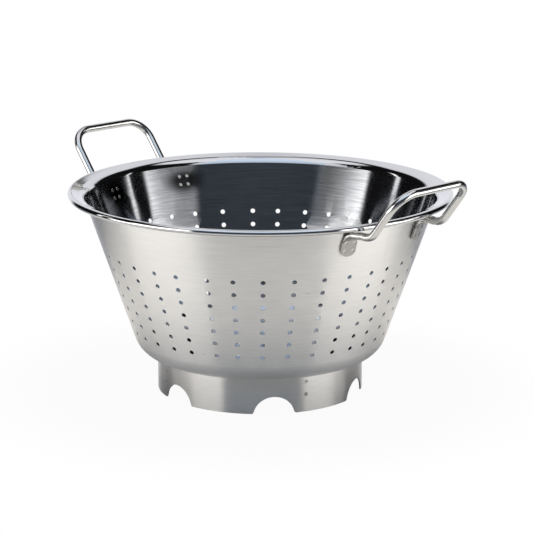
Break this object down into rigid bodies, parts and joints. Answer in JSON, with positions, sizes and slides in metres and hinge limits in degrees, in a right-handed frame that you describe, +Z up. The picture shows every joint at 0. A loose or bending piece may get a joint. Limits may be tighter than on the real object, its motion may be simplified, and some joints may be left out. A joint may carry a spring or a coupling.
{
  "type": "colander",
  "caption": "Footed stainless steel colander with a perforated conical bowl, a rolled rim, an arched foot ring and rod handles spot-welded under the rim.",
  "frame": {"origin": "middle of the plane that the foot ring stands on", "axes": "+Z up along the bowl's axis, +X through the right handle, -X through the left handle"},
  "size_m": [0.4842, 0.4, 0.2508],
  "materials": {
    "bowl_steel": "satin",
    "foot_steel": "satin",
    "handle_steel": "polished",
    "weld_steel": "satin"
  },
  "bodies": {
    "root": {"bowl_base": "bowl_steel", "bowl_wall": "bowl_steel", "bowl_rim": "bowl_steel", "foot_ring": "foot_steel", "foot_bracket_1": "foot_steel", "foot_bracket_2": "foot_steel", "foot_bracket_3": "foot_steel", "foot_bracket_4": "foot_steel", "handle_right": "handle_steel", "handle_left": "handle_steel", "handle_right_front_welds": "weld_steel", "handle_right_rear_welds": "weld_steel", "handle_left_front_welds": "weld_steel", "handle_left_rear_welds": "weld_steel", "foot_bracket_1_ring_welds": "weld_steel", "foot_bracket_2_ring_welds": "weld_steel", "foot_bracket_3_ring_welds": "weld_steel", "foot_bracket_4_ring_welds": "weld_steel", "foot_bracket_1_floor_welds": "weld_steel", "foot_bracket_2_floor_welds": "weld_steel", "foot_bracket_3_floor_welds": "weld_steel", "foot_bracket_4_floor_welds": "weld_steel"}
  },
  "joints": []
}
